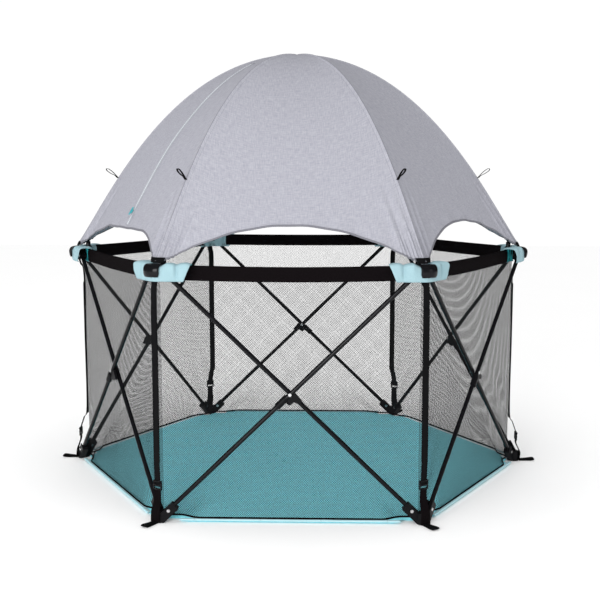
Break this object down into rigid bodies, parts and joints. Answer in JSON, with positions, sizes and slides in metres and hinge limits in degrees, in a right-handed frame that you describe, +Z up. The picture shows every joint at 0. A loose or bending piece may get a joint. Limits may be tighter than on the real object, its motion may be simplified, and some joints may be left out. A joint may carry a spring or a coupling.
{
  "type": "travel play yard",
  "caption": "Hexagonal pop-up play yard with scissor-folding tube panels, mesh walls, padded floor and a clip-on domed canopy.",
  "frame": {"origin": "centre of the hexagon at ground level", "axes": "+X towards one corner hub, -Y towards the front panel, +Z up"},
  "size_m": [1.484, 1.2946, 1.247],
  "materials": {
    "black_tube": "glossy black powder coat",
    "black_plastic": "satin moulded",
    "black_gloss_plastic": "glossy moulded",
    "rivet_steel": "bright",
    "mat_fabric": "woven teal floor cloth",
    "aqua_piping": "woven light aqua tape",
    "aqua_fabric": "woven light aqua cloth",
    "black_mesh": "open black netting",
    "rail_fabric": "woven black cloth",
    "black_webbing": "ribbed black webbing",
    "canopy_fabric": "heather grey weave",
    "pole_fibre": "fibre rod",
    "teal_plastic": "moulded"
  },
  "bodies": {
    "enclosure": {"mesh_walls": "black_mesh", "rail_bands": "rail_fabric", "corner_pockets": "aqua_fabric", "corner_straps": "black_webbing", "strap_gussets": "rail_fabric", "strap_adjusters": "black_gloss_plastic", "stake_loops": "black_webbing"},
    "floor": {"floor_mat": "mat_fabric", "floor_piping": "aqua_piping"},
    "foot_0": {"foot_hub_0": "black_plastic"},
    "foot_1": {"foot_hub_1": "black_plastic"},
    "foot_2": {"foot_hub_2": "black_plastic"},
    "foot_3": {"foot_hub_3": "black_plastic"},
    "foot_4": {"foot_hub_4": "black_plastic"},
    "foot_5": {"foot_hub_5": "black_plastic"},
    "top_0": {"top_hub_0": "black_plastic"},
    "top_1": {"top_hub_1": "black_plastic"},
    "top_2": {"top_hub_2": "black_plastic"},
    "top_3": {"top_hub_3": "black_plastic"},
    "top_4": {"top_hub_4": "black_plastic"},
    "top_5": {"top_hub_5": "black_plastic"},
    "outer_leg_0": {"leg_outer_0": "black_tube", "outer_rivets_0": "rivet_steel", "cross_saddle_0": "black_plastic"},
    "outer_leg_1": {"leg_outer_1": "black_tube", "outer_rivets_1": "rivet_steel", "cross_saddle_1": "black_plastic"},
    "outer_leg_2": {"leg_outer_2": "black_tube", "outer_rivets_2": "rivet_steel", "cross_saddle_2": "black_plastic"},
    "outer_leg_3": {"leg_outer_3": "black_tube", "outer_rivets_3": "rivet_steel", "cross_saddle_3": "black_plastic"},
    "outer_leg_4": {"leg_outer_4": "black_tube", "outer_rivets_4": "rivet_steel", "cross_saddle_4": "black_plastic"},
    "outer_leg_5": {"leg_outer_5": "black_tube", "outer_rivets_5": "rivet_steel", "cross_saddle_5": "black_plastic"},
    "inner_leg_0": {"leg_inner_0": "black_tube", "inner_rivets_0": "rivet_steel"},
    "inner_leg_1": {"leg_inner_1": "black_tube", "inner_rivets_1": "rivet_steel"},
    "inner_leg_2": {"leg_inner_2": "black_tube", "inner_rivets_2": "rivet_steel"},
    "inner_leg_3": {"leg_inner_3": "black_tube", "inner_rivets_3": "rivet_steel"},
    "inner_leg_4": {"leg_inner_4": "black_tube", "inner_rivets_4": "rivet_steel"},
    "inner_leg_5": {"leg_inner_5": "black_tube", "inner_rivets_5": "rivet_steel"},
    "clips": {"corner_clips": "black_gloss_plastic"},
    "canopy": {"canopy_cover": "canopy_fabric", "canopy_poles": "pole_fibre", "pole_tips": "black_plastic", "canopy_crown": "black_plastic", "canopy_zip": "aqua_piping", "seam_loops": "black_webbing"},
    "zip_slider": {"zip_pull": "teal_plastic"}
  },
  "joints": [
    {"name": "foot_glide", "type": "slide", "parent": "enclosure", "child": "foot_0", "axis": [-0.5, 0.866, 0], "range_m": [0, 0.5423]},
    {"name": "frame_fold", "type": "hinge", "parent": "foot_0", "child": "outer_leg_0", "pos_m": [0.35396, -0.56693, 0.033], "axis": [0.866, -0.5, 0], "range_deg": [0, 40], "deforming": ["floor_mat", "floor_piping", "mesh_walls", "rail_bands", "corner_pockets", "corner_straps", "strap_gussets", "strap_adjusters", "stake_loops"]},
    {"name": "crossing_0", "type": "hinge", "parent": "outer_leg_0", "child": "inner_leg_0", "pos_m": [0.51096, -0.295, 0.339], "axis": [0.866, -0.5, 0], "range_deg": [-80.5, 0]},
    {"name": "foot_pivot_inner_0", "type": "hinge", "parent": "inner_leg_0", "child": "foot_1", "pos_m": [0.66795, -0.02307, 0.033], "axis": [0.866, -0.5, 0], "range_deg": [0, 40.5]},
    {"name": "top_pivot_outer_0", "type": "hinge", "parent": "outer_leg_0", "child": "top_1", "pos_m": [0.66795, -0.02307, 0.645], "axis": [0.866, -0.5, 0], "range_deg": [-40.5, 0]},
    {"name": "foot_pivot_outer_1", "type": "hinge", "parent": "foot_1", "child": "outer_leg_1", "pos_m": [0.66795, 0.02307, 0.033], "axis": [0.866, 0.5, 0], "range_deg": [0, 40.5]},
    {"name": "crossing_1", "type": "hinge", "parent": "outer_leg_1", "child": "inner_leg_1", "pos_m": [0.51096, 0.295, 0.339], "axis": [0.866, 0.5, 0], "range_deg": [-80.5, 0]},
    {"name": "foot_pivot_inner_1", "type": "hinge", "parent": "inner_leg_1", "child": "foot_2", "pos_m": [0.35396, 0.56693, 0.033], "axis": [0.866, 0.5, 0], "range_deg": [0, 40.5]},
    {"name": "top_pivot_outer_1", "type": "hinge", "parent": "outer_leg_1", "child": "top_2", "pos_m": [0.35396, 0.56693, 0.645], "axis": [0.866, 0.5, 0], "range_deg": [-40.5, 0]},
    {"name": "foot_pivot_outer_2", "type": "hinge", "parent": "foot_2", "child": "outer_leg_2", "pos_m": [0.314, 0.59, 0.033], "axis": [0, 1, 0], "range_deg": [0, 40.5]},
    {"name": "crossing_2", "type": "hinge", "parent": "outer_leg_2", "child": "inner_leg_2", "pos_m": [0, 0.59, 0.339], "axis": [0, 1, 0], "range_deg": [-80.5, 0]},
    {"name": "foot_pivot_inner_2", "type": "hinge", "parent": "inner_leg_2", "child": "foot_3", "pos_m": [-0.314, 0.59, 0.033], "axis": [0, 1, 0], "range_deg": [0, 40.5]},
    {"name": "top_pivot_outer_2", "type": "hinge", "parent": "outer_leg_2", "child": "top_3", "pos_m": [-0.314, 0.59, 0.645], "axis": [0, 1, 0], "range_deg": [-40.5, 0]},
    {"name": "top_pivot_inner_0", "type": "hinge", "parent": "inner_leg_0", "child": "top_0", "pos_m": [0.35396, -0.56693, 0.645], "axis": [0.866, -0.5, 0], "range_deg": [0, 40.5]},
    {"name": "foot_pivot_inner_5", "type": "hinge", "parent": "foot_0", "child": "inner_leg_5", "pos_m": [0.314, -0.59, 0.033], "axis": [0, -1, 0], "range_deg": [-40.5, 0]},
    {"name": "crossing_5", "type": "hinge", "parent": "inner_leg_5", "child": "outer_leg_5", "pos_m": [0, -0.59, 0.339], "axis": [0, -1, 0], "range_deg": [0, 80.5]},
    {"name": "foot_pivot_outer_5", "type": "hinge", "parent": "outer_leg_5", "child": "foot_5", "pos_m": [-0.314, -0.59, 0.033], "axis": [0, -1, 0], "range_deg": [-40.5, 0]},
    {"name": "top_pivot_inner_5", "type": "hinge", "parent": "inner_leg_5", "child": "top_5", "pos_m": [-0.314, -0.59, 0.645], "axis": [0, -1, 0], "range_deg": [0, 40.5]},
    {"name": "foot_pivot_inner_4", "type": "hinge", "parent": "foot_5", "child": "inner_leg_4", "pos_m": [-0.35396, -0.56693, 0.033], "axis": [-0.866, -0.5, 0], "range_deg": [-40.5, 0]},
    {"name": "crossing_4", "type": "hinge", "parent": "inner_leg_4", "child": "outer_leg_4", "pos_m": [-0.51096, -0.295, 0.339], "axis": [-0.866, -0.5, 0], "range_deg": [0, 80.5]},
    {"name": "foot_pivot_outer_4", "type": "hinge", "parent": "outer_leg_4", "child": "foot_4", "pos_m": [-0.66795, -0.02307, 0.033], "axis": [-0.866, -0.5, 0], "range_deg": [-40.5, 0]},
    {"name": "top_pivot_inner_4", "type": "hinge", "parent": "inner_leg_4", "child": "top_4", "pos_m": [-0.66795, -0.02307, 0.645], "axis": [-0.866, -0.5, 0], "range_deg": [0, 40.5]},
    {"name": "foot_pivot_inner_3", "type": "hinge", "parent": "foot_4", "child": "inner_leg_3", "pos_m": [-0.66795, 0.02307, 0.033], "axis": [-0.866, 0.5, 0], "range_deg": [-40.5, 0]},
    {"name": "crossing_3", "type": "hinge", "parent": "inner_leg_3", "child": "outer_leg_3", "pos_m": [-0.51096, 0.295, 0.339], "axis": [-0.866, 0.5, 0], "range_deg": [0, 80.5]},
    {"name": "floor_rise", "type": "slide", "parent": "enclosure", "child": "floor", "axis": [0, 0, 1], "range_m": [0, 0.2625]},
    {"name": "clip_rise", "type": "slide", "parent": "enclosure", "child": "clips", "axis": [0, 0, 1], "range_m": [0, 0.5605]},
    {"name": "canopy_lift", "type": "slide", "parent": "clips", "child": "canopy", "axis": [0, 0, 1], "range_m": [0, 0.3]},
    {"name": "zip_travel", "type": "hinge", "parent": "canopy", "child": "zip_slider", "pos_m": [0.7673, 0.443, 0.057], "axis": [-0.5, 0.866, 0], "range_deg": [0, 12]}
  ],
  "couplings": [
    {"joint": "foot_glide", "follows": "frame_fold", "m_per_rad": 0.7739},
    {"joint": "crossing_0", "follows": "frame_fold", "ratio": -2},
    {"joint": "foot_pivot_inner_0", "follows": "frame_fold", "ratio": 1},
    {"joint": "top_pivot_outer_0", "follows": "frame_fold", "ratio": -1},
    {"joint": "foot_pivot_outer_1", "follows": "frame_fold", "ratio": 1},
    {"joint": "crossing_1", "follows": "frame_fold", "ratio": -2},
    {"joint": "foot_pivot_inner_1", "follows": "frame_fold", "ratio": 1},
    {"joint": "top_pivot_outer_1", "follows": "frame_fold", "ratio": -1},
    {"joint": "foot_pivot_outer_2", "follows": "frame_fold", "ratio": 1},
    {"joint": "crossing_2", "follows": "frame_fold", "ratio": -2},
    {"joint": "foot_pivot_inner_2", "follows": "frame_fold", "ratio": 1},
    {"joint": "top_pivot_outer_2", "follows": "frame_fold", "ratio": -1},
    {"joint": "top_pivot_inner_0", "follows": "frame_fold", "ratio": 1},
    {"joint": "foot_pivot_inner_5", "follows": "frame_fold", "ratio": -1},
    {"joint": "crossing_5", "follows": "frame_fold", "ratio": 2},
    {"joint": "foot_pivot_outer_5", "follows": "frame_fold", "ratio": -1},
    {"joint": "top_pivot_inner_5", "follows": "frame_fold", "ratio": 1},
    {"joint": "foot_pivot_inner_4", "follows": "frame_fold", "ratio": -1},
    {"joint": "crossing_4", "follows": "frame_fold", "ratio": 2},
    {"joint": "foot_pivot_outer_4", "follows": "frame_fold", "ratio": -1},
    {"joint": "top_pivot_inner_4", "follows": "frame_fold", "ratio": 1},
    {"joint": "foot_pivot_inner_3", "follows": "frame_fold", "ratio": -1},
    {"joint": "crossing_3", "follows": "frame_fold", "ratio": 2},
    {"joint": "floor_rise", "follows": "frame_fold", "m_per_rad": 0.3731},
    {"joint": "clip_rise", "follows": "frame_fold", "m_per_rad": 0.8}
  ]
}
